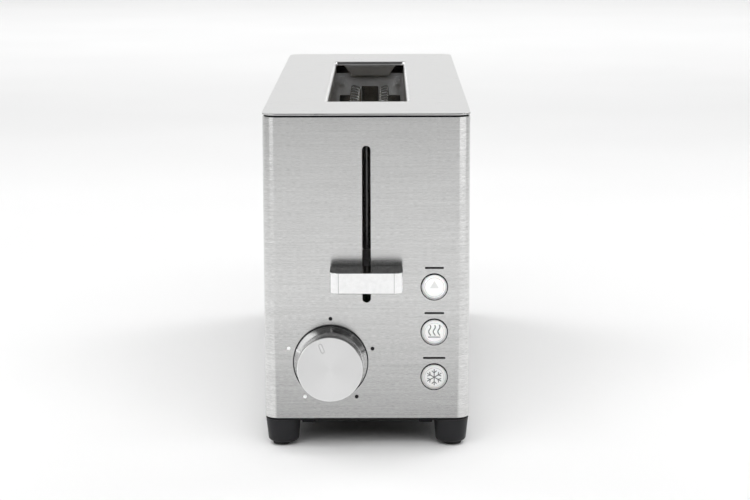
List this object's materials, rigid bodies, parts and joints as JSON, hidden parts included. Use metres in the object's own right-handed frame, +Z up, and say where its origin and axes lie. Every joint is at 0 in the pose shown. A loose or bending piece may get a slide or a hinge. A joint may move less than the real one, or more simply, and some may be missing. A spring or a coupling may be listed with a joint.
{
  "type": "pop up toaster",
  "caption": "Long slim pop up toaster with a single long bread slot, a lever, browning knob and push buttons on its end panel, and a crumb tray.",
  "frame": {"origin": "middle of the overall box at floor level, between the foot pads", "axes": "+Z up, -Y out of the control panel, so the bread slot runs along Y; +X to the right seen from the front"},
  "size_m": [0.1204, 0.432, 0.1968],
  "materials": {
    "brushed_steel": "stainless sheet with a fine horizontal brushed grain",
    "polished_steel": "polished, mirror-like",
    "spun_aluminium": "turned and spun, with fine concentric lines",
    "black_plastic": "fine-textured moulded plastic",
    "rubber": "soft matt rubber",
    "galvanised_steel": "galvanised sheet, satin",
    "bright_wire": "bright plated wire",
    "mica": "pressed mica sheet",
    "nichrome": "oxidised resistance ribbon",
    "white_plastic": "plain moulded plastic",
    "milky_cap": "milky translucent plastic",
    "brass": "turned brass",
    "copper_winding": "enamelled copper wire",
    "circuit_board": "lacquered circuit board"
  },
  "bodies": {
    "housing": {"front_cover": "brushed_steel", "rear_cover": "brushed_steel", "left_side_panel": "brushed_steel", "right_side_panel": "brushed_steel", "top_plate": "brushed_steel", "top_frame": "black_plastic", "base": "black_plastic", "legs": "black_plastic", "foot_pads": "rubber", "base_screws": "galvanised_steel", "cord_gland": "black_plastic", "tray_rails": "galvanised_steel", "front_end_plate": "galvanised_steel", "rear_end_plate": "galvanised_steel", "left_heat_shield": "galvanised_steel", "right_heat_shield": "galvanised_steel", "left_heater_board": "mica", "right_heater_board": "mica", "left_heater_ribbon": "nichrome", "right_heater_ribbon": "nichrome", "magnet_core": "galvanised_steel", "magnet_coil": "copper_winding", "magnet_shelf": "galvanised_steel", "guide_rod": "bright_wire", "rod_bracket": "galvanised_steel", "lift_spring": "bright_wire", "mains_switch": "black_plastic", "control_board": "circuit_board", "board_posts": "black_plastic", "board_screws": "galvanised_steel", "tact_switches": "black_plastic", "browning_control": "black_plastic", "button_rings": "polished_steel", "lit_markers": "milky_cap", "dark_markers": "black_plastic", "terminal_block": "white_plastic", "mains_wires": "white_plastic"},
    "carriage": {"bread_rack": "bright_wire", "carriage_bracket": "galvanised_steel", "carriage_bush": "white_plastic", "lever_stem": "galvanised_steel", "lever_handle": "polished_steel", "latch_armature": "galvanised_steel"},
    "left_guide": {"left_bread_guide": "bright_wire"},
    "right_guide": {"right_bread_guide": "bright_wire"},
    "browning_knob": {"knob_shaft": "brass", "knob": "spun_aluminium"},
    "cancel_key": {"cancel_button": "milky_cap"},
    "reheat_key": {"reheat_button": "milky_cap"},
    "defrost_key": {"defrost_button": "milky_cap"},
    "crumb_drawer": {"crumb_tray": "galvanised_steel", "tray_grip": "black_plastic"}
  },
  "joints": [
    {"name": "lever_slide", "type": "slide", "parent": "housing", "child": "carriage", "axis": [0, 0, 1], "range_m": [0, 0.07], "deforming": ["lift_spring"]},
    {"name": "left_guide_hinge", "type": "hinge", "parent": "housing", "child": "left_guide", "pos_m": [-0.007, 0.009, 0.047], "axis": [0, -1, 0], "range_deg": [0, 5.3]},
    {"name": "right_guide_hinge", "type": "hinge", "parent": "housing", "child": "right_guide", "pos_m": [0.007, 0.009, 0.047], "axis": [0, 1, 0], "range_deg": [0, 5.3]},
    {"name": "knob_turn", "type": "hinge", "parent": "housing", "child": "browning_knob", "pos_m": [-0.0211, -0.2, 0.0512], "axis": [0, -1, 0], "range_deg": [-165, 123]},
    {"name": "cancel_press", "type": "slide", "parent": "housing", "child": "cancel_key", "axis": [0, 1, 0], "range_m": [0, 0.0015], "stiffness_N_per_m": 600},
    {"name": "reheat_press", "type": "slide", "parent": "housing", "child": "reheat_key", "axis": [0, 1, 0], "range_m": [0, 0.0015], "stiffness_N_per_m": 600},
    {"name": "defrost_press", "type": "slide", "parent": "housing", "child": "defrost_key", "axis": [0, 1, 0], "range_m": [0, 0.0015], "stiffness_N_per_m": 600},
    {"name": "crumb_tray_slide", "type": "slide", "parent": "housing", "child": "crumb_drawer", "axis": [0, 1, 0], "range_m": [0, 0.3]}
  ],
  "couplings": [
    {"joint": "left_guide_hinge", "follows": "lever_slide", "rad_per_m": 1.309},
    {"joint": "right_guide_hinge", "follows": "lever_slide", "rad_per_m": 1.309}
  ]
}
